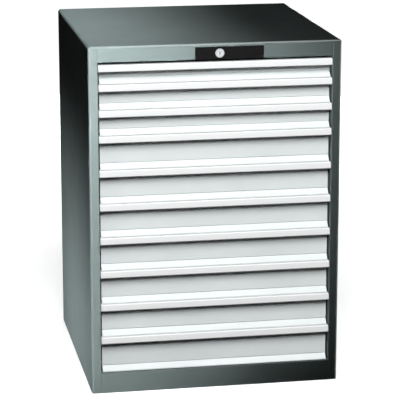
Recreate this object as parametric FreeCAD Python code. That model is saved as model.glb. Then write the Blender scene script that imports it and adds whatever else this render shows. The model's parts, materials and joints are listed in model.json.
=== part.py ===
import FreeCAD, Part
import os
from math import cos, pi, sin, sqrt, tan

# A steel drawer cabinet: a housing of folded sheet, ten full-extension drawers
# on telescopic runners, and one lock that works a bar behind all the drawers.
# Lengths are in millimetres. X runs to the right, Y to the back and Z up, and
# the origin is the middle of the footprint, on the floor.

# Drawer fronts, counted from the top. A pitch is one front and the gap below it.
SMALL_PITCH = 55.0
MEDIUM_PITCH = 72.5
LARGE_PITCH = 97.0
SMALL_COUNT = 1
MEDIUM_COUNT = 2
LARGE_COUNT = 7
FRONT_GAP = 1.5
HEADER_GAP = 7.0
BOTTOM_CLOSER = 9.0

# Housing.
WIDTH = 717.0
DEPTH = 725.0
BASE_RAIL_HEIGHT = 60.0
HEADER_HEIGHT = 45.0
STILE_WIDTH = 27.0
FRAME_RETURN = 25.0
HEADER_TOP_RETURN = 12.0
REAR_FLANGE = 18.5
CASE_SHEET = 1.5
CASE_BEND = 8.0
EDGE_BEND = 2.0
LID_DEPTH = 9.0
BASE_SHEET = 2.0
BASE_UPSTAND = 40.0

# Uprights and the rails that hang in their slots.
UPRIGHT_WIDTH = 40.0
UPRIGHT_DEPTH = 26.9
UPRIGHT_SETBACK = 7.5
TAB_LENGTH = 12.0
TAB_HEIGHT = 10.0
TAB_REACH = 4.0
TAB_CLEARANCE = 0.5
CROSS_RAIL_HEIGHT = 30.0
CROSS_RAIL_SHEET = 2.0

# Runners. The carriage runs between the cabinet's rail and the drawer's rail.
RAIL_HEIGHT = 30.0
RAIL_SHEET = 1.5
RAIL_FLANGE = 9.0
RAIL_LIFT = 2.0
RAIL_SETBACK = 2.0
RAIL_OVERRUN = 7.0
EXTENSION = 600.0
CARRIAGE_BAR_THICKNESS = 3.0
CARRIAGE_BAR_HEIGHT = 22.0
ROLLER_WIDTH = 7.0
ROLLER_PLAY = 0.3
ROLLER_END_INSET = 20.0
ROLLER_PIN_RADIUS = 3.0
ROLLER_PIN_END = 0.4
PIN_CLEARANCE = 0.05
RUNNER_GAP = 0.7

# Drawer trays.
REAR_SPACE = 91.0
TRAY_SHEET = 1.25
TRAY_RIM = 5.0
TRAY_TOP_DROP = 9.0
TRAY_LIFT = 5.0
SLOT_PITCH = 34.0
SLOT_WIDTH = 3.0
SLOT_EDGE = 8.0
SLOT_END_MARGIN = 25.0

# Drawer fronts.
PANEL_RECESS = 16.0
PANEL_SIDE_GAP = 5.0
PANEL_SHEET = 1.25
PANEL_HEM = 7.0
LIP_HEIGHT = 16.0
LIP_RECESS = 4.5
LIP_EDGE = 2.5
LIP_HEM = 8.0
GROOVE_DEPTH = 2.5
GROOVE_HEIGHT = 2.5

# Handles: an extruded hook with a seat for a label strip.
HANDLE_PROUD = 5.0
HANDLE_HEIGHT = 20.0
HANDLE_WALL = 1.8
HANDLE_BEND = 3.5
HANDLE_SLOPE = 2.5
HANDLE_EDGE = 5.0
HANDLE_FLANGE = 8.0
HANDLE_CURL = 4.0
HANDLE_SIDE_GAP = 1.5
END_CAP = 1.5
LABEL_TOP = 3.5
LABEL_HEIGHT = 11.0
LABEL_SEAT_DEPTH = 0.7

# Lock, from the front to the bar behind the drawers.
LOCK_X = 9.0
LOCK_HOUSING_X = 37.0
LOCK_HOUSING_WIDTH = 194.0
LOCK_HOUSING_MARGIN = 0.5
LOCK_PLATE = 2.0
LOCK_BODY_INSET = 5.0
LOCK_BODY_DEPTH = 20.0
LOCK_BODY_WALL = 2.0
LOCK_BODY_CLEARANCE = 0.5
LOCK_CORNER = 2.0
CYLINDER_RADIUS = 10.0
CYLINDER_PROUD = 2.0
CYLINDER_LENGTH = 26.0
KEYHOLE_WIDTH = 1.8
KEYHOLE_HEIGHT = 9.0
KEYHOLE_DEPTH = 3.0
ROSETTE_RADIUS = 12.5
ROSETTE_THICKNESS = 1.5
ROSETTE_GAP = 0.3
LOCK_BOSS_WALL = 3.0
SHAFT_RADIUS = 4.0
CRANK_RADIUS = 8.0
CRANK_THICKNESS = 4.0
CRANK_PIN_RADIUS = 2.5
CRANK_PIN_END = 2.0
CRANK_PLAY = 0.4
HANGER_SHEET = 3.0
HANGER_HALF_WIDTH = 15.0
HANGER_DROP = 12.0
HANGER_FLANGE = 15.0
HANGER_SETBACK = 15.0
LOCK_BAR_GAP = 6.5
LOCK_BAR_SHEET = 3.0
LOCK_BAR_WIDTH = 40.0
LOCK_BAR_LIFT = 6.0
LUG_WIDTH = 12.0
LUG_NECK = 3.0
LUG_HEAD = 14.0
LUG_DROP = 22.0
LUG_PLAY = 1.5
GUIDE_HEIGHT = 24.0
GUIDE_WALL = 7.0
GUIDE_LIP = 4.0
GUIDE_LIP_SHEET = 2.0
GUIDE_PLAY = 0.3
SCREW_RADIUS = 2.0
SCREW_DEPTH = 8.0
SCREW_HEAD_RADIUS = 3.5
SCREW_HEAD_HEIGHT = 2.2
SCREW_SOCKET_RADIUS = 1.45
SCREW_SOCKET_DEPTH = 1.3

# Levels and planes that follow from the sizes above.
PITCHES = [SMALL_PITCH] * SMALL_COUNT + [MEDIUM_PITCH] * MEDIUM_COUNT + [LARGE_PITCH] * LARGE_COUNT
STACK_BOTTOM = BASE_RAIL_HEIGHT + BOTTOM_CLOSER
STACK_TOP = STACK_BOTTOM + sum(PITCHES)
HEADER_BOTTOM = STACK_TOP + HEADER_GAP
HEIGHT = HEADER_BOTTOM + HEADER_HEIGHT
LID_BOTTOM = HEIGHT - LID_DEPTH
LID_UNDERSIDE = HEIGHT - CASE_SHEET
HALF_WIDTH = WIDTH / 2
FRONT = -DEPTH / 2
BACK = DEPTH / 2
OPENING_HALF = HALF_WIDTH - STILE_WIDTH
SIDE_INNER = HALF_WIDTH - CASE_SHEET
PANEL_FACE = FRONT + PANEL_RECESS
HANDLE_FACE = FRONT - HANDLE_PROUD
TRAY_FRONT = PANEL_FACE + GROOVE_DEPTH + PANEL_SHEET
TRAY_BACK = BACK - REAR_SPACE
RAIL_FRONT = TRAY_FRONT + RAIL_SETBACK
RAIL_BACK = TRAY_BACK + RAIL_OVERRUN
UPRIGHT_INNER = SIDE_INNER - UPRIGHT_DEPTH
ROLLER_SPACE = RUNNER_GAP + ROLLER_PIN_END + ROLLER_WIDTH + ROLLER_PLAY
BAR_OUTER = UPRIGHT_INNER - RAIL_SHEET - ROLLER_SPACE
BAR_INNER = BAR_OUTER - CARRIAGE_BAR_THICKNESS
TRAY_HALF = BAR_INNER - ROLLER_SPACE - RAIL_SHEET
ROLLER_RADIUS = RAIL_HEIGHT / 2 - RAIL_SHEET - ROLLER_PLAY
ROLLER_SPACING = RAIL_BACK - RAIL_FRONT - EXTENSION / 2 - 2 * ROLLER_END_INSET
LOCK_Z = (HEADER_BOTTOM + LID_BOTTOM) / 2
LOCK_BAR_FRONT = TRAY_BACK + LOCK_BAR_GAP
LOCK_BAR_BACK = LOCK_BAR_FRONT + LOCK_BAR_SHEET
LOCK_BAR_FOOT = STACK_BOTTOM + LOCK_BAR_LIFT
CRANK_OFFSET = CRANK_RADIUS / sqrt(2)
CRANK_FRONT = LOCK_BAR_FRONT - LUG_PLAY - CRANK_THICKNESS
LUG_BACK = LOCK_BAR_BACK + LUG_PLAY + LUG_NECK
CROSS_RAIL_FRONT = LUG_BACK + LUG_PLAY
FRONT_UPRIGHT = FRONT + FRAME_RETURN + UPRIGHT_SETBACK
REAR_UPRIGHT = CROSS_RAIL_FRONT - UPRIGHT_WIDTH


def point(x, y, z):
    return FreeCAD.Vector(x, y, z)


ALONG_X = point(1, 0, 0)
ALONG_Y = point(0, 1, 0)
ALONG_Z = point(0, 0, 1)


def block(xs, ys, zs):
    """Box between two values on each axis, given in either order."""
    low = point(min(xs), min(ys), min(zs))
    high = point(max(xs), max(ys), max(zs))
    size = high - low
    return Part.makeBox(size.x, size.y, size.z, low)


def rod(radius, start, end):
    """Solid cylinder from one point to another."""
    return Part.makeCylinder(radius, (end - start).Length, start, end - start)


def unit(vector):
    return vector * (1 / vector.Length)


def corner_arc(before, corner, after, radius):
    """Start, middle and end of the arc that rounds a corner."""
    into = unit(corner - before)
    out = unit(after - corner)
    half_turn = into.getAngle(out) / 2
    reach = radius * tan(half_turn)
    inward = unit(out - into)
    middle = corner + inward * (radius / cos(half_turn) - radius)
    return corner - into * reach, middle, corner + out * reach


def rounded_face(corners, radii):
    """Flat face with the given corners, each rounded to its own radius."""
    count = len(corners)
    arcs = []
    for i, corner in enumerate(corners):
        if radii[i] > 0:
            arcs.append(corner_arc(corners[i - 1], corner, corners[(i + 1) % count], radii[i]))
        else:
            arcs.append((corner, corner, corner))
    edges = []
    for i, (start, middle, end) in enumerate(arcs):
        if radii[i] > 0:
            edges.append(Part.Arc(start, middle, end).toShape())
        following = arcs[(i + 1) % count][0]
        edges.append(Part.LineSegment(end, following).toShape())
    return Part.Face(Part.Wire(edges))


def folded_sheet(path, bends, thickness, extrusion):
    """Sheet folded along a path on its outer face and carried along the extrusion.

    The sheet lies to the left of the path, seen from where the extrusion points.
    Each inner corner of the path has its outside bend radius, or 0 for a sharp fold.
    """
    normal = unit(extrusion)
    heads = [unit(end - start) for start, end in zip(path, path[1:])]
    lefts = [normal.cross(head) for head in heads]
    offset = [path[0] + lefts[0] * thickness]
    for corner, left, following in zip(path[1:], lefts, lefts[1:]):
        offset.append(corner + (left + following) * (thickness / (1 + left.dot(following))))
    offset.append(path[-1] + lefts[-1] * thickness)
    path_radii = [0]
    offset_radii = [0]
    for head, following, bend in zip(heads, heads[1:], bends):
        inside = max(bend - thickness, 0)
        turns_left = head.cross(following).dot(normal) > 0
        path_radii.append(bend if turns_left else inside)
        offset_radii.append(inside if turns_left else bend)
    path_radii.append(0)
    offset_radii.append(0)
    outline = path + offset[::-1]
    return rounded_face(outline, path_radii + offset_radii[::-1]).extrude(extrusion)


def mirrored(shape):
    """The same piece on the other side of the cabinet."""
    return shape.mirror(point(0, 0, 0), ALONG_X)


def rectangle(start, across, up):
    corners = [start, start + across, start + across + up, start + up]
    return Part.makePolygon(corners + corners[:1])


def drawer_levels():
    """Bottom of the pitch and top of the front of each drawer, from the top down."""
    levels = []
    top = STACK_TOP
    for pitch in PITCHES:
        levels.append((top - pitch, top))
        top -= pitch
    return levels


def tray_levels(drawer):
    """Lowest and highest level of a drawer's tray."""
    bottom, top = drawer
    return bottom + FRONT_GAP + TRAY_LIFT, top - TRAY_TOP_DROP


def rail_middle(drawer):
    return tray_levels(drawer)[0] + RAIL_LIFT + RAIL_HEIGHT / 2


def lug_bottom(drawer):
    return tray_levels(drawer)[1] - LUG_DROP


def side_panel():
    """Right side: front stile with its return, the side itself and the rear flange."""
    path = [
        point(OPENING_HALF, FRONT + FRAME_RETURN, 0),
        point(OPENING_HALF, FRONT, 0),
        point(HALF_WIDTH, FRONT, 0),
        point(HALF_WIDTH, BACK, 0),
        point(HALF_WIDTH - REAR_FLANGE, BACK, 0),
    ]
    bends = [EDGE_BEND, CASE_BEND, CASE_BEND]
    return folded_sheet(path, bends, CASE_SHEET, ALONG_Z * LID_BOTTOM)


def top_panel():
    """Shallow lid with rounded edges, open underneath."""
    outer = block((-HALF_WIDTH, HALF_WIDTH), (FRONT, BACK), (LID_BOTTOM, HEIGHT))
    inner = block(
        (-SIDE_INNER, SIDE_INNER),
        (FRONT + CASE_SHEET, BACK - CASE_SHEET),
        (LID_BOTTOM, LID_UNDERSIDE),
    )
    return round_upper_edges(outer, CASE_BEND).cut(round_upper_edges(inner, CASE_BEND - CASE_SHEET))


def round_upper_edges(solid, radius):
    """Round every edge of a block except those around its bottom."""
    bottom = solid.BoundBox.ZMin
    upper = [edge for edge in solid.Edges if edge.BoundBox.ZMax > bottom + radius / 2]
    return solid.makeFillet(radius, upper)


def back_panel():
    half = HALF_WIDTH - CASE_BEND
    return block((-half, half), (BACK - 2 * CASE_SHEET, BACK - CASE_SHEET), (0, LID_BOTTOM))


def base_pan():
    """Floor of the housing, turned up at the front and the back."""
    half = HALF_WIDTH - CASE_BEND
    front = FRONT + FRAME_RETURN
    back = BACK - 2 * CASE_SHEET
    path = [
        point(-half, front, BASE_UPSTAND),
        point(-half, front, 0),
        point(-half, back, 0),
        point(-half, back, BASE_UPSTAND),
    ]
    return folded_sheet(path, [0, 0], BASE_SHEET, ALONG_X * (2 * half))


def front_rail(bottom, top, upper_return, lower_return, upper_bend, lower_bend):
    """Rail between the stiles, folded back along its upper and lower edges."""
    path = [
        point(-OPENING_HALF, FRONT + upper_return, top),
        point(-OPENING_HALF, FRONT, top),
        point(-OPENING_HALF, FRONT, bottom),
        point(-OPENING_HALF, FRONT + lower_return, bottom),
    ]
    return folded_sheet(path, [upper_bend, lower_bend], CASE_SHEET, ALONG_X * (2 * OPENING_HALF))


def header_rail():
    rail = front_rail(HEADER_BOTTOM, LID_BOTTOM, HEADER_TOP_RETURN, FRAME_RETURN, 0, EDGE_BEND)
    return rail.cut(lock_body_block(LOCK_BODY_CLEARANCE))


def base_rail():
    return front_rail(0, BASE_RAIL_HEIGHT, FRAME_RETURN, FRAME_RETURN, EDGE_BEND, 0)


def rail_tab(side, upright, drawer, clearance):
    """Tab of a rail, or with a clearance the slot that it hangs in."""
    middle_y = upright + UPRIGHT_WIDTH / 2
    middle_z = rail_middle(drawer)
    half_y = TAB_LENGTH / 2 + clearance
    half_z = TAB_HEIGHT / 2 + clearance
    return block(
        (side * UPRIGHT_INNER, side * (UPRIGHT_INNER + TAB_REACH)),
        (middle_y - half_y, middle_y + half_y),
        (middle_z - half_z, middle_z + half_z),
    )


def upright(side, front):
    """Channel against the side panel, slotted for one tab of every rail."""
    channel = block(
        (side * UPRIGHT_INNER, side * SIDE_INNER),
        (front, front + UPRIGHT_WIDTH),
        (BASE_SHEET, LID_BOTTOM),
    )
    hollow = block(
        (side * (UPRIGHT_INNER + CASE_SHEET), side * HALF_WIDTH),
        (front + CASE_SHEET, front + UPRIGHT_WIDTH - CASE_SHEET),
        (0, HEIGHT),
    )
    slots = [rail_tab(side, front, drawer, TAB_CLEARANCE) for drawer in drawer_levels()]
    return channel.cut([hollow] + slots)


def slotted_uprights():
    return [upright(side, front) for side in (-1, 1) for front in (FRONT_UPRIGHT, REAR_UPRIGHT)]


def rail_channel(side, web_outer, opens, back, drawer):
    """Channel rail on the given side that opens outwards (1) or inwards (-1)."""
    middle = rail_middle(drawer)
    low = middle - RAIL_HEIGHT / 2
    high = middle + RAIL_HEIGHT / 2
    web_inner = web_outer + opens * RAIL_SHEET
    edge = web_outer + opens * RAIL_FLANGE
    full = block((side * web_outer, side * edge), (RAIL_FRONT, back), (low, high))
    hollow = block(
        (side * web_inner, side * edge),
        (RAIL_FRONT, back),
        (low + RAIL_SHEET, high - RAIL_SHEET),
    )
    return full.cut(hollow)


def cabinet_rails(side):
    """Fixed rails of one side, each with two tabs and a stop at its rear end."""
    rails = []
    for drawer in drawer_levels():
        middle = rail_middle(drawer)
        stop = block(
            (side * (UPRIGHT_INNER - RAIL_FLANGE), side * UPRIGHT_INNER),
            (RAIL_BACK, RAIL_BACK + RAIL_SHEET),
            (middle - RAIL_HEIGHT / 2, middle + RAIL_HEIGHT / 2),
        )
        tabs = [rail_tab(side, upright_y, drawer, 0) for upright_y in (FRONT_UPRIGHT, REAR_UPRIGHT)]
        rail = rail_channel(side, UPRIGHT_INNER, -1, RAIL_BACK, drawer)
        rails.append(rail.fuse([stop] + tabs).removeSplitter())
    return rails


def guide_levels():
    """Bottom levels of the two guides of the lock bar, clear of every lug."""
    top_lug = lug_bottom(drawer_levels()[0]) + LUG_HEAD
    return LOCK_BAR_FOOT + GUIDE_LIP, top_lug + LUG_PLAY + GUIDE_LIP


def screw_seats(level):
    """Where a guide's two screws meet the back of its cross rail."""
    reach = LOCK_BAR_WIDTH / 2 + GUIDE_PLAY + GUIDE_WALL / 2
    back = CROSS_RAIL_FRONT + CROSS_RAIL_SHEET
    return [point(LOCK_X + side * reach, back, level + GUIDE_HEIGHT / 2) for side in (-1, 1)]


def screw_holes(level):
    """Holes through a cross rail and into its guide, just wider than the screws."""
    into = ALONG_Y * -(CROSS_RAIL_SHEET + SCREW_DEPTH + PIN_CLEARANCE)
    return [rod(SCREW_RADIUS + PIN_CLEARANCE, seat, seat + into) for seat in screw_seats(level)]


def guide_screws():
    """Pan head screws with a hexagon socket, from behind the cross rails into the guides."""
    screws = []
    head = ALONG_Y * SCREW_HEAD_HEIGHT
    for seat in [seat for level in guide_levels() for seat in screw_seats(level)]:
        tip = seat - ALONG_Y * (CROSS_RAIL_SHEET + SCREW_DEPTH)
        turns = [pi / 3 * i for i in range(6)]
        corners = [
            seat + head + point(SCREW_SOCKET_RADIUS * cos(turn), 0, SCREW_SOCKET_RADIUS * sin(turn))
            for turn in turns
        ]
        socket = rounded_face(corners, [0] * 6).extrude(ALONG_Y * -SCREW_SOCKET_DEPTH)
        screw = rod(SCREW_RADIUS, tip, seat).fuse(rod(SCREW_HEAD_RADIUS, seat, seat + head))
        screws.append(screw.removeSplitter().cut(socket))
    return screws


def rear_cross_rails():
    """Flat rails that tie the rear uprights together and carry the bar's guides."""
    rails = []
    for level in guide_levels():
        middle = level + GUIDE_HEIGHT / 2
        rail = block(
            (-SIDE_INNER, SIDE_INNER),
            (CROSS_RAIL_FRONT, CROSS_RAIL_FRONT + CROSS_RAIL_SHEET),
            (middle - CROSS_RAIL_HEIGHT / 2, middle + CROSS_RAIL_HEIGHT / 2),
        )
        rails.append(rail.cut(screw_holes(level)))
    return rails


def lock_bar_guides():
    """Two channels that hold the lock bar by its edges and let it slide up and down."""
    guides = []
    half_bar = LOCK_BAR_WIDTH / 2 + GUIDE_PLAY
    half = half_bar + GUIDE_WALL
    lip_back = LOCK_BAR_FRONT - GUIDE_PLAY
    for level in guide_levels():
        levels = (level, level + GUIDE_HEIGHT)
        body = block(
            (LOCK_X - half, LOCK_X + half),
            (lip_back - GUIDE_LIP_SHEET, CROSS_RAIL_FRONT),
            levels,
        )
        run = block(
            (LOCK_X - half_bar, LOCK_X + half_bar),
            (lip_back, LOCK_BAR_BACK + GUIDE_PLAY),
            levels,
        )
        mouth = block(
            (LOCK_X - half_bar + GUIDE_LIP, LOCK_X + half_bar - GUIDE_LIP),
            (lip_back - GUIDE_LIP_SHEET, lip_back),
            levels,
        )
        guides.append(body.cut([run, mouth] + screw_holes(level)))
    return guides


def lock_body_block(clearance):
    """Space of the lock housing's body behind the header's face."""
    half = LOCK_HOUSING_WIDTH / 2 - LOCK_BODY_INSET + clearance
    return block(
        (LOCK_HOUSING_X - half, LOCK_HOUSING_X + half),
        (FRONT, FRONT + LOCK_BODY_DEPTH),
        (HEADER_BOTTOM + LOCK_BODY_INSET - clearance, LID_BOTTOM - LOCK_BODY_INSET + clearance),
    )


def lock_housing():
    """Face plate over the header and a box behind it with the cylinder's boss."""
    half = LOCK_HOUSING_WIDTH / 2
    low = HEADER_BOTTOM + LOCK_HOUSING_MARGIN
    high = LID_BOTTOM - LOCK_HOUSING_MARGIN
    corners = [
        point(LOCK_HOUSING_X - half, FRONT, low),
        point(LOCK_HOUSING_X + half, FRONT, low),
        point(LOCK_HOUSING_X + half, FRONT, high),
        point(LOCK_HOUSING_X - half, FRONT, high),
    ]
    plate = rounded_face(corners, [LOCK_CORNER] * 4).extrude(ALONG_Y * -LOCK_PLATE)
    body = lock_body_block(0)
    space = body.BoundBox
    hollow = block(
        (space.XMin + LOCK_BODY_WALL, space.XMax - LOCK_BODY_WALL),
        (FRONT + LOCK_BODY_WALL, space.YMax),
        (space.ZMin + LOCK_BODY_WALL, space.ZMax - LOCK_BODY_WALL),
    )
    bore_radius = CYLINDER_RADIUS + PIN_CLEARANCE
    boss = rod(bore_radius + LOCK_BOSS_WALL, point(LOCK_X, FRONT, LOCK_Z), point(LOCK_X, space.YMax, LOCK_Z))
    bore = rod(bore_radius, point(LOCK_X, FRONT - LOCK_PLATE, LOCK_Z), point(LOCK_X, space.YMax, LOCK_Z))
    return body.cut(hollow).fuse([plate, boss]).cut(bore).removeSplitter()


def lock_rosette():
    """Ring around the lock cylinder, on the face plate."""
    back = point(LOCK_X, FRONT - LOCK_PLATE, LOCK_Z)
    front = back - ALONG_Y * ROSETTE_THICKNESS
    return rod(ROSETTE_RADIUS, back, front).cut(rod(CYLINDER_RADIUS + ROSETTE_GAP, back, front))


def lock_cylinder():
    """Turning core with its keyhole."""
    face = FRONT - LOCK_PLATE - CYLINDER_PROUD
    core = rod(CYLINDER_RADIUS, point(LOCK_X, face, LOCK_Z), point(LOCK_X, face + CYLINDER_LENGTH, LOCK_Z))
    keyhole = block(
        (LOCK_X - KEYHOLE_WIDTH / 2, LOCK_X + KEYHOLE_WIDTH / 2),
        (face, face + KEYHOLE_DEPTH),
        (LOCK_Z - KEYHOLE_HEIGHT / 2, LOCK_Z + KEYHOLE_HEIGHT / 2),
    )
    return core.cut(keyhole)


def lock_shaft():
    """Shaft from the cylinder to the back, with a crank and its pin."""
    front = FRONT - LOCK_PLATE - CYLINDER_PROUD + CYLINDER_LENGTH
    back = CRANK_FRONT + CRANK_THICKNESS
    shaft = rod(SHAFT_RADIUS, point(LOCK_X, front, LOCK_Z), point(LOCK_X, back, LOCK_Z))
    pin_x = LOCK_X + CRANK_OFFSET
    pin_z = LOCK_Z + CRANK_OFFSET
    eye = rod(SHAFT_RADIUS, point(pin_x, CRANK_FRONT, pin_z), point(pin_x, back, pin_z))
    pin_end = LOCK_BAR_BACK + CRANK_PIN_END
    pin = rod(CRANK_PIN_RADIUS, point(pin_x, CRANK_FRONT, pin_z), point(pin_x, pin_end, pin_z))
    across = point(1, 0, -1) * (SHAFT_RADIUS / sqrt(2))
    start = point(LOCK_X, CRANK_FRONT, LOCK_Z)
    end = point(pin_x, CRANK_FRONT, pin_z)
    corners = [start - across, start + across, end + across, end - across]
    arm = rounded_face(corners, [0] * 4).extrude(ALONG_Y * CRANK_THICKNESS)
    return shaft.fuse([arm, eye, pin]).removeSplitter()


def lock_shaft_hanger():
    """Bracket under the lid that carries the rear end of the lock shaft."""
    front = CRANK_FRONT - HANGER_SETBACK
    half = HANGER_HALF_WIDTH
    plate = block(
        (LOCK_X - half, LOCK_X + half),
        (front, front + HANGER_SHEET),
        (LOCK_Z - HANGER_DROP, LID_UNDERSIDE),
    )
    flange = block(
        (LOCK_X - half, LOCK_X + half),
        (front + HANGER_SHEET - HANGER_FLANGE, front + HANGER_SHEET),
        (LID_UNDERSIDE - HANGER_SHEET, LID_UNDERSIDE),
    )
    hole = rod(
        SHAFT_RADIUS + PIN_CLEARANCE,
        point(LOCK_X, front, LOCK_Z),
        point(LOCK_X, front + HANGER_SHEET, LOCK_Z),
    )
    return plate.fuse(flange).removeSplitter().cut(hole)


def lock_bar():
    """Flat bar behind the drawers. A window lets each drawer's lug through when it is up."""
    half = LOCK_BAR_WIDTH / 2
    depth = (LOCK_BAR_FRONT, LOCK_BAR_BACK)
    pin_z = LOCK_Z + CRANK_OFFSET
    half_slot = CRANK_PIN_RADIUS + CRANK_PLAY
    bar = block(
        (LOCK_X - half, LOCK_X + half),
        depth,
        (LOCK_BAR_FOOT, pin_z + half_slot + CRANK_PIN_RADIUS),
    )
    openings = [
        block(
            (LOCK_X + CRANK_OFFSET - half_slot, LOCK_X + CRANK_RADIUS + half_slot),
            depth,
            (pin_z - half_slot, pin_z + half_slot),
        )
    ]
    half_window = LUG_WIDTH / 2 + LUG_PLAY
    for drawer in drawer_levels():
        low = lug_bottom(drawer)
        openings.append(
            block(
                (LOCK_X - half_window, LOCK_X + half_window),
                depth,
                (low - LUG_PLAY, low + LUG_HEAD + LUG_PLAY),
            )
        )
    return bar.cut(openings)


def slotted_wall(start, across, up, thickness):
    """Upright tray wall with narrow slots for partitions at a steady pitch."""
    along = unit(across)
    rise = unit(up)
    count = int((across.Length - 2 * SLOT_END_MARGIN) // SLOT_PITCH) + 1
    first = (across.Length - (count - 1) * SLOT_PITCH - SLOT_WIDTH) / 2
    wires = [rectangle(start, across, up)]
    for i in range(count):
        low = start + along * (first + i * SLOT_PITCH) + rise * SLOT_EDGE
        wires.append(rectangle(low, along * SLOT_WIDTH, rise * (up.Length - 2 * SLOT_EDGE)))
    return Part.Face(wires).extrude(thickness)


def tray_side(side, low, high):
    """Side wall with a rim turned outwards along its top."""
    wall = slotted_wall(
        point(side * TRAY_HALF, TRAY_FRONT, low),
        ALONG_Y * (TRAY_BACK - TRAY_FRONT),
        ALONG_Z * (high - low),
        ALONG_X * (-side * TRAY_SHEET),
    )
    rim = block(
        (side * (TRAY_HALF - TRAY_SHEET), side * (TRAY_HALF + TRAY_RIM)),
        (TRAY_FRONT, TRAY_BACK),
        (high - TRAY_SHEET, high),
    )
    return wall.fuse(rim).removeSplitter()


def tray_lug(drawer):
    """Catch on the back of a tray: a neck with an upright head that the bar holds."""
    low = lug_bottom(drawer)
    width = (LOCK_X - LUG_WIDTH / 2, LOCK_X + LUG_WIDTH / 2)
    neck = block(width, (TRAY_BACK, LUG_BACK), (low, low + LUG_NECK))
    head = block(width, (LUG_BACK - LUG_NECK, LUG_BACK), (low, low + LUG_HEAD))
    return neck.fuse(head).removeSplitter()


def drawer_tray(drawer):
    """Sides, front and back walls, floor, both drawer rails and the lock lug."""
    low, high = tray_levels(drawer)
    inner_half = TRAY_HALF - TRAY_SHEET
    inner_front = TRAY_FRONT + TRAY_SHEET
    inner_back = TRAY_BACK - TRAY_SHEET
    solids = [tray_side(side, low, high) for side in (-1, 1)]
    for start_y in (TRAY_FRONT, inner_back):
        solids.append(
            slotted_wall(
                point(-inner_half, start_y, low),
                ALONG_X * (2 * inner_half),
                ALONG_Z * (high - low),
                ALONG_Y * TRAY_SHEET,
            )
        )
    floor = block((-inner_half, inner_half), (inner_front, inner_back), (low, low + TRAY_SHEET))
    rails = [rail_channel(side, TRAY_HALF, 1, TRAY_BACK, drawer) for side in (-1, 1)]
    return solids + [floor] + rails + [tray_lug(drawer)]


def drawer_front(drawer, lowest):
    """Front panel with a hem on top, a groove, and a lip that slopes out at the bottom."""
    top = drawer[1]
    half = OPENING_HALF - PANEL_SIDE_GAP
    lip_face = FRONT + LIP_RECESS
    groove_top = lowest + LIP_HEIGHT + GROOVE_HEIGHT
    groove_face = PANEL_FACE + GROOVE_DEPTH
    path = [
        point(-half, PANEL_FACE + PANEL_HEM, top),
        point(-half, PANEL_FACE, top),
        point(-half, PANEL_FACE, groove_top),
        point(-half, groove_face, groove_top),
        point(-half, groove_face, lowest + LIP_HEIGHT),
        point(-half, lip_face, lowest + LIP_EDGE),
        point(-half, lip_face, lowest),
        point(-half, lip_face + LIP_HEM, lowest),
    ]
    bends = [0] * (len(path) - 2)
    return folded_sheet(path, bends, PANEL_SHEET, ALONG_X * (2 * half))


def handle_outline(top, x):
    """Outer corners of the hook, from the flange on the panel round to its curled edge."""
    bottom = top - HANDLE_HEIGHT
    return [
        point(x, PANEL_FACE, top - HANDLE_FLANGE),
        point(x, PANEL_FACE, top),
        point(x, HANDLE_FACE + HANDLE_SLOPE, top),
        point(x, HANDLE_FACE, bottom + HANDLE_EDGE),
        point(x, HANDLE_FACE, bottom),
        point(x, HANDLE_FACE + HANDLE_CURL, bottom),
    ]


def drawer_handle(drawer):
    """Extruded hook with a label seat in its face, and a cap on each end."""
    top = drawer[1]
    half = OPENING_HALF - HANDLE_SIDE_GAP
    hook_half = half - END_CAP
    outline = handle_outline(top, -hook_half)
    bends = [0, HANDLE_BEND, 0, HANDLE_BEND]
    hook = folded_sheet(outline, bends, HANDLE_WALL, ALONG_X * (2 * hook_half))
    upper = outline[2]
    down = unit(outline[3] - upper)
    inward = down.cross(ALONG_X)
    start = upper + down * LABEL_TOP
    seat = rectangle(start, down * LABEL_HEIGHT, inward * LABEL_SEAT_DEPTH)
    hook = hook.cut(Part.Face(seat).extrude(ALONG_X * (2 * hook_half)))
    caps = []
    for x in (-half, hook_half):
        radii = [0, 0, HANDLE_BEND, 0, HANDLE_BEND, 0]
        caps.append(rounded_face(handle_outline(top, x), radii).extrude(ALONG_X * END_CAP))
    return [hook] + caps


def roller_and_pin(side, bar_face, outward, y, z):
    """Roller and its fixed pin on one face of a carriage bar."""
    start = bar_face + outward * ROLLER_PLAY
    end = start + outward * ROLLER_WIDTH
    pin_end = end + outward * ROLLER_PIN_END
    roller = rod(ROLLER_RADIUS, point(side * start, y, z), point(side * end, y, z))
    bore = rod(ROLLER_PIN_RADIUS + PIN_CLEARANCE, point(side * start, y, z), point(side * end, y, z))
    pin = rod(ROLLER_PIN_RADIUS, point(side * bar_face, y, z), point(side * pin_end, y, z))
    return roller.cut(bore), pin


def drawer_carriage(drawer):
    """Middle runners: a bar on each side, two rollers in each of the rails it joins."""
    middle = rail_middle(drawer)
    cabinet_rollers = RAIL_BACK - ROLLER_END_INSET
    drawer_rollers = RAIL_FRONT + ROLLER_END_INSET
    solids = []
    for side in (-1, 1):
        pins = []
        for step in (0, ROLLER_SPACING):
            for face, outward, y in (
                (BAR_OUTER, 1, cabinet_rollers - step),
                (BAR_INNER, -1, drawer_rollers + step),
            ):
                roller, pin = roller_and_pin(side, face, outward, y, middle)
                solids.append(roller)
                pins.append(pin)
        bar = block(
            (side * BAR_INNER, side * BAR_OUTER),
            (RAIL_FRONT, RAIL_BACK),
            (middle - CARRIAGE_BAR_HEIGHT / 2, middle + CARRIAGE_BAR_HEIGHT / 2),
        )
        solids.append(bar.fuse(pins).removeSplitter())
    return solids


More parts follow.
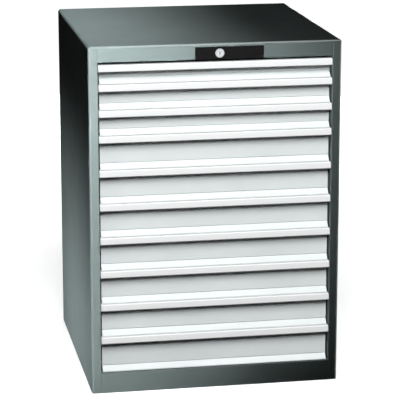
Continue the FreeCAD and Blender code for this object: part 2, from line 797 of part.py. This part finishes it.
def housing():
    right_side = side_panel()
    return {
        "left_side_panel": [mirrored(right_side)],
        "right_side_panel": [right_side],
        "top_panel": [top_panel()],
        "back_panel": [back_panel()],
        "base_pan": [base_pan()],
        "header_rail": [header_rail()],
        "base_rail": [base_rail()],
        "slotted_uprights": slotted_uprights(),
        "left_cabinet_rails": cabinet_rails(-1),
        "right_cabinet_rails": cabinet_rails(1),
        "rear_cross_rails": rear_cross_rails(),
    }


def lock():
    return {
        "lock_housing": [lock_housing()],
        "lock_rosette": [lock_rosette()],
        "lock_cylinder": [lock_cylinder()],
        "lock_shaft": [lock_shaft()],
        "lock_shaft_hanger": [lock_shaft_hanger()],
        "lock_bar": [lock_bar()],
        "lock_bar_guides": lock_bar_guides(),
        "guide_screws": guide_screws(),
    }


def drawers():
    nodes = {}
    levels = drawer_levels()
    for number, drawer in enumerate(levels, start=1):
        closes_opening = drawer is levels[-1]
        lowest = (BASE_RAIL_HEIGHT if closes_opening else drawer[0]) + FRONT_GAP
        name = f"drawer_{number:02d}"
        nodes[name + "_tray"] = drawer_tray(drawer)
        nodes[name + "_front"] = [drawer_front(drawer, lowest)]
        nodes[name + "_handle"] = drawer_handle(drawer)
        nodes[name + "_carriage"] = drawer_carriage(drawer)
    return nodes


def main():
    os.makedirs("parts", exist_ok=True)
    for name, solids in {**housing(), **lock(), **drawers()}.items():
        shape = solids[0] if len(solids) == 1 else Part.makeCompound(solids)
        shape.exportStep(os.path.join("parts", name + ".step"))


main()
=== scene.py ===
import json
import math
import bmesh
import bpy
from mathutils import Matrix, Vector

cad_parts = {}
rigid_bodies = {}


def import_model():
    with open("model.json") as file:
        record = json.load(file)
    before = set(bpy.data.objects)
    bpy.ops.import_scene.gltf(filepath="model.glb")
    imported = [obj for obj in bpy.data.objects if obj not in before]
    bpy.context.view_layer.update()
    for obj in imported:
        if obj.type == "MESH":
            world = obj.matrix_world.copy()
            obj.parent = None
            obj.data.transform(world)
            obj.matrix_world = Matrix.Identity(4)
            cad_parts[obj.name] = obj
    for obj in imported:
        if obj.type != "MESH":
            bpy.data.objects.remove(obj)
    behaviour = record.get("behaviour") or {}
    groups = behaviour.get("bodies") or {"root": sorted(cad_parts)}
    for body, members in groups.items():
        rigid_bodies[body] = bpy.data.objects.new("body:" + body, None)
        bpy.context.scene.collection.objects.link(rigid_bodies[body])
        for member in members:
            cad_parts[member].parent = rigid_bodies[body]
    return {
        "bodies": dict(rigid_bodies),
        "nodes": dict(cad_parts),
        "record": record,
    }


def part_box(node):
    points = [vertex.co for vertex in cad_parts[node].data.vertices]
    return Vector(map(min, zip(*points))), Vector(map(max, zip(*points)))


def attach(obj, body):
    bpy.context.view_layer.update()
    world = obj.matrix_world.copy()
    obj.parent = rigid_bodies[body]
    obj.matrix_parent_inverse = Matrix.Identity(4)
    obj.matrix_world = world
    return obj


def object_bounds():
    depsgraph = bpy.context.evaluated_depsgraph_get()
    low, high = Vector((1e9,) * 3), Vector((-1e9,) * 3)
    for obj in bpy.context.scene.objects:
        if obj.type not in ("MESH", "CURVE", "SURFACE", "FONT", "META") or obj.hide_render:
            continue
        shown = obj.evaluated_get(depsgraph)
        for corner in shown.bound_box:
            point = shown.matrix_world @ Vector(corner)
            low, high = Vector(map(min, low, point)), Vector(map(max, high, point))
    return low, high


# The looks of a steel drawer cabinet, in metres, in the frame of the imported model:
# X to the right, Y to the back, Z up, and the origin on the floor under its middle.

# Camera: where it stands, where it looks, and its focal length for a 400 pixel square image.
CAMERA_PLACE = Vector((-1.0187, -5.6558, 1.8948))
CAMERA_YAW = math.radians(10.41)
CAMERA_PITCH = math.radians(-13.97)
CAMERA_REACH = 100.0
FOCAL_PIXELS = 1971.9
IMAGE_PIXELS = 400
SENSOR_WIDTH = 36.0

# Colours as they look on the screen, from 0 to 255.
HOUSING_GREY = (122, 135, 134)
FRONT_GREY = (239, 245, 245)
HANDLE_WHITE = (248, 250, 250)
# Darker grey for handle faces that look down or back: painted shade under and behind the hook.
HANDLE_PAINTED_SHADE = (88, 90, 92)
TRAY_GREY = (205, 211, 212)
ZINC = (176, 182, 186)
LOCK_BLACK = (27, 26, 27)
CHROME = (214, 216, 218)
GUIDE_BLACK = (40, 40, 42)
PAPER_WHITE = (244, 247, 247)
COVER_CLEAR = (250, 252, 252)
FLOOR_WHITE = (250, 250, 250)

# Most of a noise texture's values lie between these two.
NOISE_LOW = 0.3
NOISE_HIGH = 0.7

# How much of a handle's face looks back or down where its lacquer fades to a darker grey painted as shade.
PAINTED_SHADE_START = 0.3
PAINTED_SHADE_END = 0.5

# Grain of extruded, rolled and plain surfaces, as the noise's stretch along X, Y and Z.
EXTRUDED = (0.02, 1, 1)
EXTRUDED_SHEEN = (0.05, 1, 1)
ROLLED = (1, 0.05, 1)
ROLLED_TINT = (1, 0.1, 1)
PLAIN = (1, 1, 1)

# Bevel on the cut edges of the sheets.
SHEET_EDGE = 0.0003
EDGE_ANGLE = math.radians(40)

# Label seats in the handles, and what lies in them.
HANDLE_SLOPE = 0.0025
HANDLE_EDGE = 0.005
HANDLE_END_CAP = 0.0015
LABEL_TOP = 0.0035
LABEL_HEIGHT = 0.011
LABEL_SEAT_DEPTH = 0.0007
PAPER_THICKNESS = 0.00025
COVER_THICKNESS = 0.0004
LABEL_MARGIN = 0.0002

# Dust shutter in the keyhole, whose dark plastic also stands in as painted shade deep in the keyhole.
SHADE_SHUTTER_WIDTH = 0.0018
SHADE_SHUTTER_HEIGHT = 0.009
SHADE_SHUTTER_DEPTH = 0.0009
SHADE_SHUTTER_THICKNESS = 0.0004

# Floor: how it glows from near the object to far from it, and the grey it throws back.
FLOOR_SIZE = 60.0
FLOOR_BOUNCE = (35, 35, 35)
GLOW_NEAR = 0.45
GLOW_FAR = 1.0
GLOW_START = 0.8
GLOW_END = 3.0

# World: where the ceiling starts and ends in a direction's Z, and the light from all around.
CEILING_START = 0.8
CEILING_END = 0.98
WORLD_STRENGTH = 0.01

# Lamps: what some of them light or leave out, and the line over the left stile where beams start.
HOUSING_NODES = (
    "left_side_panel",
    "right_side_panel",
    "top_panel",
    "back_panel",
    "header_rail",
    "base_rail",
)
LOCK_METAL_NODES = ("lock_rosette", "lock_cylinder")
BEAM_INSET = 0.02
BEAM_DISTANCE = 1.2

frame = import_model()
cad_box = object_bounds()


def linear(colour):
    """Screen colour from 0 to 255 as the linear colour of a shader."""
    channels = [value / 255 for value in colour]
    return [c / 12.92 if c <= 0.04045 else ((c + 0.055) / 1.055) ** 2.4 for c in channels] + [1.0]


def joined(nodes, links, operation, first, second):
    """Two values joined by a Math node."""
    node = nodes.new("ShaderNodeMath")
    node.operation = operation
    links.new(first, node.inputs[0])
    links.new(second, node.inputs[1])
    return node.outputs["Value"]


def any_ray(nodes, links, rays):
    """1 for the given kinds of ray, such as Is Camera Ray, and 0 for the others."""
    path = nodes.new("ShaderNodeLightPath")
    value = path.outputs[rays[0]]
    for ray in rays[1:]:
        value = joined(nodes, links, "MAXIMUM", value, path.outputs[ray])
    return value


def faded(nodes, links, value, start, end, low, high):
    """Smooth change from low to high as the value goes from start to end."""
    node = nodes.new("ShaderNodeMapRange")
    node.interpolation_type = "SMOOTHSTEP"
    for name, number in (("From Min", start), ("From Max", end), ("To Min", low), ("To Max", high)):
        node.inputs[name].default_value = number
    links.new(value, node.inputs["Value"])
    return node.outputs["Result"]


class Surface:
    """A Principled material with a few helpers for adding detail in the row frame."""

    def __init__(self, name, colour, roughness, metallic=0.0):
        self.material = bpy.data.materials.new(name)
        self.material.use_nodes = True
        self.nodes = self.material.node_tree.nodes
        self.links = self.material.node_tree.links
        self.shader = self.nodes["Principled BSDF"]
        self.colour = linear(colour)
        self.shader.inputs["Base Color"].default_value = self.colour
        self.shader.inputs["Roughness"].default_value = roughness
        self.shader.inputs["Metallic"].default_value = metallic
        self.place = self.nodes.new("ShaderNodeTexCoord").outputs["Object"]

    def noise(self, scale, detail, stretch):
        """Noise with features about 1 / scale metres wide, stretched along the axes."""
        mapping = self.nodes.new("ShaderNodeMapping")
        mapping.inputs["Scale"].default_value = stretch
        self.links.new(self.place, mapping.inputs["Vector"])
        texture = self.nodes.new("ShaderNodeTexNoise")
        texture.inputs["Scale"].default_value = scale
        texture.inputs["Detail"].default_value = detail
        self.links.new(mapping.outputs["Vector"], texture.inputs["Vector"])
        return texture.outputs["Fac"]

    def ranged(self, value, low, high):
        """A noise's usual values carried over to the range from low to high."""
        spread = self.nodes.new("ShaderNodeMapRange")
        spread.inputs["From Min"].default_value = NOISE_LOW
        spread.inputs["From Max"].default_value = NOISE_HIGH
        spread.inputs["To Min"].default_value = low
        spread.inputs["To Max"].default_value = high
        self.links.new(value, spread.inputs["Value"])
        return spread.outputs["Result"]

    def mixed(self, factor, first, second):
        """Sets the base colour to a mix of two linear colours."""
        mix = self.nodes.new("ShaderNodeMix")
        mix.data_type = "RGBA"
        mix.inputs["A"].default_value = first
        mix.inputs["B"].default_value = second
        self.links.new(factor, mix.inputs["Factor"])
        self.links.new(mix.outputs["Result"], self.shader.inputs["Base Color"])

    def vary_roughness(self, scale, low, high, stretch=PLAIN):
        value = self.ranged(self.noise(scale, 3.0, stretch), low, high)
        self.links.new(value, self.shader.inputs["Roughness"])
        return self

    def vary_colour(self, scale, amount, stretch=PLAIN):
        """Lets the colour drift a little darker and lighter from place to place."""
        darker = [c * (1 - amount) for c in self.colour[:3]] + [1.0]
        lighter = [min(c * (1 + amount), 1.0) for c in self.colour[:3]] + [1.0]
        self.mixed(self.ranged(self.noise(scale, 4.0, stretch), 0.0, 1.0), darker, lighter)
        return self

    def bump(self, scale, height, detail=2.0, stretch=PLAIN):
        """Fine relief of the given height in metres, added to any relief already there."""
        node = self.nodes.new("ShaderNodeBump")
        node.inputs["Distance"].default_value = height
        self.links.new(self.noise(scale, detail, stretch), node.inputs["Height"])
        normal = self.shader.inputs["Normal"]
        if normal.is_linked:
            self.links.new(normal.links[0].from_socket, node.inputs["Normal"])
        self.links.new(node.outputs["Normal"], normal)
        return self


def powder_coat(name, colour, roughness, gloss):
    """Baked paint on steel: a fine orange peel under a satin gloss."""
    surface = Surface(name, colour, roughness)
    surface.vary_colour(scale=5.0, amount=0.03)
    surface.vary_roughness(scale=9.0, low=roughness - 0.04, high=roughness + 0.04)
    surface.bump(scale=520.0, height=0.00003).bump(scale=140.0, height=0.00004)
    surface.shader.inputs["Specular IOR Level"].default_value = gloss
    return surface.material


def plated(name, colour, roughness):
    """Zinc on rolled steel: a soft grain along the sheet."""
    surface = Surface(name, colour, roughness, metallic=1.0)
    surface.vary_colour(scale=30.0, amount=0.08, stretch=ROLLED_TINT)
    surface.vary_roughness(scale=60.0, low=roughness - 0.08, high=roughness + 0.08, stretch=ROLLED)
    surface.bump(scale=400.0, height=0.00002, stretch=ROLLED)
    return surface.material


def moulded(name, colour, roughness, gloss=0.3):
    """Moulded plastic with a fine spark-eroded grain."""
    surface = Surface(name, colour, roughness)
    surface.shader.inputs["Specular IOR Level"].default_value = gloss
    surface.vary_roughness(scale=40.0, low=roughness - 0.05, high=roughness + 0.05)
    surface.bump(scale=900.0, height=0.00004, detail=3.0)
    return surface.material


def polished(name, colour, roughness):
    """Bright metal with faint scuffs."""
    surface = Surface(name, colour, roughness, metallic=1.0)
    surface.vary_roughness(scale=300.0, low=roughness - 0.03, high=roughness + 0.05)
    surface.bump(scale=700.0, height=0.000004)
    return surface.material


def lacquered_aluminium(name, colour, shade_colour, roughness):
    """White lacquer over an extruded section, with a darker grey painted as shade on the faces that look
    back or down, under and behind the hook.
    """
    surface = Surface(name, colour, roughness)
    surface.vary_roughness(scale=50.0, low=roughness - 0.04, high=roughness + 0.04, stretch=EXTRUDED_SHEEN)
    nodes, links = surface.nodes, surface.links
    # Faces that look back or down fade to the darker grey: painted shade under and behind the hook.
    facing = nodes.new("ShaderNodeSeparateXYZ")
    links.new(nodes.new("ShaderNodeNewGeometry").outputs["Normal"], facing.inputs["Vector"])
    below = nodes.new("ShaderNodeMath")
    below.operation = "MULTIPLY"
    below.inputs[1].default_value = -1
    links.new(facing.outputs["Z"], below.inputs[0])
    hidden = joined(nodes, links, "MAXIMUM", facing.outputs["Y"], below.outputs["Value"])
    painted_shade = faded(nodes, links, hidden, PAINTED_SHADE_START, PAINTED_SHADE_END, low=0.0, high=1.0)
    surface.mixed(painted_shade, surface.colour, linear(shade_colour))
    surface.bump(scale=700.0, height=0.00001, stretch=EXTRUDED).bump(scale=300.0, height=0.00001)
    return surface.material


def paper(name, colour):
    """Uncoated paper with a fine tooth."""
    surface = Surface(name, colour, roughness=0.85)
    surface.vary_colour(scale=900.0, amount=0.02).bump(scale=1500.0, height=0.00002, detail=4.0)
    return surface.material


def clear_plastic(name, colour):
    """Clear sheet, slightly scuffed."""
    surface = Surface(name, colour, roughness=0.12)
    surface.vary_roughness(scale=60.0, low=0.08, high=0.2)
    surface.shader.inputs["Transmission Weight"].default_value = 1.0
    surface.shader.inputs["IOR"].default_value = 1.46
    return surface.material


def dress_frame():
    """Gives every CAD node the material of its slot, and softens the edges of the sheets."""
    finishes = {
        "housing": powder_coat("housing_paint", HOUSING_GREY, roughness=0.36, gloss=0.25),
        "drawer_front": powder_coat("front_paint", FRONT_GREY, roughness=0.45, gloss=0.4),
        "tray": powder_coat("tray_paint", TRAY_GREY, roughness=0.5, gloss=0.4),
        "handle": lacquered_aluminium("handle_lacquer", HANDLE_WHITE, HANDLE_PAINTED_SHADE, roughness=0.36),
        "galvanised_steel": plated("zinc_plate", ZINC, roughness=0.38),
        "lock_housing_plastic": moulded("lock_plastic", LOCK_BLACK, roughness=0.42),
        "lock_chrome": polished("lock_nickel", CHROME, roughness=0.18),
        "guide_plastic": moulded("guide_plastic", GUIDE_BLACK, roughness=0.5),
    }
    for subpart in frame["record"]["subparts"]:
        node = frame["nodes"][subpart["node"]]
        node.data.materials.clear()
        node.data.materials.append(finishes[subpart["material_slot"]])
        edge = node.modifiers.new("edge", "BEVEL")
        edge.width = SHEET_EDGE
        edge.segments = 2
        edge.limit_method = "ANGLE"
        edge.angle_limit = EDGE_ANGLE
    return finishes


def extrude_strip(name, profile, start_x, end_x):
    """A strip along X with the given profile of (y, z) points."""
    mesh = bpy.data.meshes.new(name)
    build = bmesh.new()
    rings = [[build.verts.new((x, y, z)) for y, z in profile] for x in (start_x, end_x)]
    count = len(profile)
    for i in range(count):
        j = (i + 1) % count
        build.faces.new((rings[0][i], rings[0][j], rings[1][j], rings[1][i]))
    build.faces.new(rings[0][::-1])
    build.faces.new(rings[1])
    bmesh.ops.recalc_face_normals(build, faces=build.faces)
    build.to_mesh(mesh)
    build.free()
    piece = bpy.data.objects.new(name, mesh)
    bpy.context.collection.objects.link(piece)
    return piece


def dress_keyhole(material):
    """A dark shutter just inside the keyhole, which turns with the cylinder. Its dark plastic also stands
    in as painted shade deep in the keyhole.
    """
    low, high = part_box("lock_cylinder")
    centre = (low + high) / 2
    near = low.y + SHADE_SHUTTER_DEPTH
    far = near + SHADE_SHUTTER_THICKNESS
    bottom, top = centre.z - SHADE_SHUTTER_HEIGHT / 2, centre.z + SHADE_SHUTTER_HEIGHT / 2
    profile = [(near, bottom), (near, top), (far, top), (far, bottom)]
    start = centre.x - SHADE_SHUTTER_WIDTH / 2
    piece = extrude_strip("lock_keyhole_shutter", profile, start, start + SHADE_SHUTTER_WIDTH)
    # Dark plastic here is partly a real dust shutter and partly painted shade in the keyhole.
    piece.data.materials.append(material)
    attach(piece, "lock")


def label_layer(name, handle_box, near, far, material):
    """One layer in a handle's label seat, between two depths measured from the handle's face."""
    low, high = handle_box
    top = Vector((low.y + HANDLE_SLOPE, high.z))
    bottom = Vector((low.y, low.z + HANDLE_EDGE))
    down = (bottom - top).normalized()
    inward = Vector((-down.y, down.x))
    start = top + down * (LABEL_TOP + LABEL_MARGIN)
    end = top + down * (LABEL_TOP + LABEL_HEIGHT - LABEL_MARGIN)
    profile = [start + inward * near, end + inward * near, end + inward * far, start + inward * far]
    reach = high.x - HANDLE_END_CAP - LABEL_MARGIN
    piece = extrude_strip(name, [tuple(p) for p in profile], -reach, reach)
    piece.data.materials.append(material)
    return piece


def dress_handles():
    """A paper strip and a clear cover in the label seat of every handle."""
    strip_paper = paper("label_paper", PAPER_WHITE)
    cover = clear_plastic("label_cover", COVER_CLEAR)
    seat = LABEL_SEAT_DEPTH
    strip_face = seat - PAPER_THICKNESS
    cover_face = strip_face - COVER_THICKNESS
    layers = (
        ("_label_strip", strip_face, seat, strip_paper, "label_paper"),
        ("_label_cover", cover_face, strip_face, cover, "label_cover"),
    )
    for body in frame["bodies"]:
        if not body.startswith("drawer_"):
            continue
        handle_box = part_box(body + "_handle")
        for ending, near, far, material, slot in layers:
            piece = label_layer(body + ending, handle_box, near, far, material)
            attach(piece, body)


def build_floor():
    """White floor that keeps the shadow. What the object gets back from it is much darker."""
    bpy.ops.mesh.primitive_plane_add(size=FLOOR_SIZE)
    floor = bpy.context.object
    floor.name = "floor"
    surface = Surface("floor_white", FLOOR_WHITE, roughness=0.9)
    nodes, links = surface.nodes, surface.links
    distance = nodes.new("ShaderNodeVectorMath")
    distance.operation = "LENGTH"
    links.new(surface.place, distance.inputs[0])
    glow = faded(nodes, links, distance.outputs["Value"], GLOW_START, GLOW_END, GLOW_NEAR, GLOW_FAR)
    straight = any_ray(nodes, links, ("Is Camera Ray", "Is Transmission Ray"))
    surface.shader.inputs["Emission Color"].default_value = (1, 1, 1, 1)
    links.new(joined(nodes, links, "MULTIPLY", glow, straight), surface.shader.inputs["Emission Strength"])
    thrown = nodes.new("ShaderNodeBsdfDiffuse")
    thrown.inputs["Color"].default_value = linear(FLOOR_BOUNCE)
    mix = nodes.new("ShaderNodeMixShader")
    links.new(straight, mix.inputs["Fac"])
    links.new(thrown.outputs["BSDF"], mix.inputs[1])
    links.new(surface.shader.outputs["BSDF"], mix.inputs[2])
    links.new(mix.outputs["Shader"], nodes["Material Output"].inputs["Surface"])
    floor.data.materials.append(surface.material)


def build_world():
    """Looks white, shows a white ceiling in what is glossy, and lights the object a little."""
    world = bpy.data.worlds.new("studio")
    bpy.context.scene.world = world
    world.use_nodes = True
    nodes, links = world.node_tree.nodes, world.node_tree.links
    direction = nodes.new("ShaderNodeSeparateXYZ")
    links.new(nodes.new("ShaderNodeTexCoord").outputs["Generated"], direction.inputs["Vector"])
    ceiling = faded(nodes, links, direction.outputs["Z"], CEILING_START, CEILING_END, low=0.0, high=1.0)
    shown = joined(nodes, links, "MULTIPLY", ceiling, any_ray(nodes, links, ("Is Glossy Ray",)))
    straight = any_ray(nodes, links, ("Is Camera Ray", "Is Transmission Ray"))
    light = nodes["Background"]
    light.inputs["Color"].default_value = (1, 1, 1, 1)
    light.inputs["Strength"].default_value = WORLD_STRENGTH
    white = nodes.new("ShaderNodeBackground")
    white.inputs["Color"].default_value = (1, 1, 1, 1)
    mix = nodes.new("ShaderNodeMixShader")
    links.new(joined(nodes, links, "MAXIMUM", shown, straight), mix.inputs["Fac"])
    links.new(light.outputs["Background"], mix.inputs[1])
    links.new(white.outputs["Background"], mix.inputs[2])
    links.new(mix.outputs["Shader"], nodes["World Output"].inputs["Surface"])


def area_lamp(name, place, target, size, level, spread=180, only=(), but=(), diffuse=True, gloss=True):
    """A soft lamp of the given width and height that faces the target.

    There it gives a white surface that faces it the stated level. Its beam narrows with the
    spread, in degrees. It can light only some objects, or all but some, and leave out the
    diffuse or the glossy light.
    """
    place, target = Vector(place), Vector(target)
    data = bpy.data.lights.new(name, "AREA")
    data.shape = "RECTANGLE"
    data.size, data.size_y = size
    data.spread = math.radians(spread)
    data.energy = level * (math.pi * (target - place).length) ** 2
    if spread < 180:
        half = math.radians(spread) / 2
        data.energy *= 1 - half / math.tan(half)
    lamp = bpy.data.objects.new(name, data)
    bpy.context.collection.objects.link(lamp)
    lamp.location = place
    lamp.rotation_euler = (target - place).to_track_quat("-Z", "Y").to_euler()
    lamp.visible_camera = False
    lamp.visible_diffuse = diffuse
    lamp.visible_glossy = gloss
    if only or but:
        group = bpy.data.collections.new(name + "_receivers")
        for receiver in only or but:
            group.objects.link(receiver)
        for entry in group.collection_objects:
            entry.light_linking.link_state = "INCLUDE" if only else "EXCLUDE"
        lamp.light_linking.receiver_collection = group


def build_lamps():
    """A key light for the drawers, and beams that shade the housing from side to side."""
    housing = [frame["nodes"][name] for name in HOUSING_NODES]
    lock_metal = [frame["nodes"][name] for name in LOCK_METAL_NODES]
    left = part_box("left_side_panel")[0].x
    front, back = [corner.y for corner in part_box("top_panel")]
    top = cad_box[1].z

    area_lamp("key", (-0.5, front - 3.1, 3.5), (0, front, 0.5), size=(1.6, 2.6), level=1.12, but=housing)
    area_lamp(
        "lock_card", (0, front - 1.2, 0.52), (0, front, 0.97), size=(2.6, 0.85), level=0.5,
        only=lock_metal, diffuse=False,
    )

    # Each beam has a place, a target, a width and height, a spread in degrees and a level.
    beam_x, beam_y = left + BEAM_INSET, front - BEAM_DISTANCE
    beams = (
        ("frame_high", (beam_x, beam_y, 1.1), (beam_x, front, 1.1), (0.1, 0.3), 75, 1.9),
        ("frame_middle", (beam_x, beam_y, 0.6), (beam_x, front, 0.6), (0.1, 0.3), 75, 1.05),
        ("frame_low", (beam_x, beam_y, 0.2), (beam_x, front, 0.1), (0.1, 0.2), 45, 0.75),
        ("side_low", (left - 1.24, 0, 0.2), (left, 0, 0.1), (0.9, 0.2), 60, 2.1),
        ("top_left", (beam_x, 0, top + 1), (beam_x, 0, top), (0.1, 1.2), 56, 3.2),
    )
    for name, place, target, size, spread, level in beams:
        area_lamp(name, place, target, size, level, spread, only=housing, gloss=False)

    # These two show only as light on the rounded edges.
    area_lamp(
        "top_edge", (0.2, front - 0.5, top + 1.6), (0, front, top), size=(1.6, 0.9), level=3.0,
        only=housing, diffuse=False,
    )
    area_lamp(
        "left_edge", (left - 1.3, front - 1.3, 0.3), (left, front, 0.5), size=(2.0, 1.8), level=3.0,
        only=housing, diffuse=False,
    )

    # Fills for the drawers when they stand open, and for the right side and the back.
    area_lamp(
        "drawer_fill", (left - 3.2, front - 0.3, 0.8), (left, front - 0.3, 0.5), size=(1.6, 0.8),
        level=0.45, but=housing,
    )
    area_lamp("right_fill", (3.6, 0.5, 0.5), (-left, 0, 0.5), size=(1.6, 0.8), level=0.6)
    area_lamp("back_fill", (0.8, 4.0, 0.5), (0, back, 0.5), size=(1.6, 0.8), level=0.6)


def build_camera():
    data = bpy.data.cameras.new("camera")
    data.sensor_width = SENSOR_WIDTH
    data.lens = FOCAL_PIXELS * SENSOR_WIDTH / IMAGE_PIXELS
    data.clip_end = CAMERA_REACH
    camera = bpy.data.objects.new("camera", data)
    bpy.context.collection.objects.link(camera)
    camera.location = CAMERA_PLACE
    camera.rotation_euler = (math.pi / 2 + CAMERA_PITCH, 0, -CAMERA_YAW)
    bpy.context.scene.camera = camera


build_camera()
finishes = dress_frame()
dress_keyhole(finishes["lock_housing_plastic"])
dress_handles()
build_floor()
build_world()
build_lamps()
bpy.context.scene.view_settings.view_transform = "Standard"
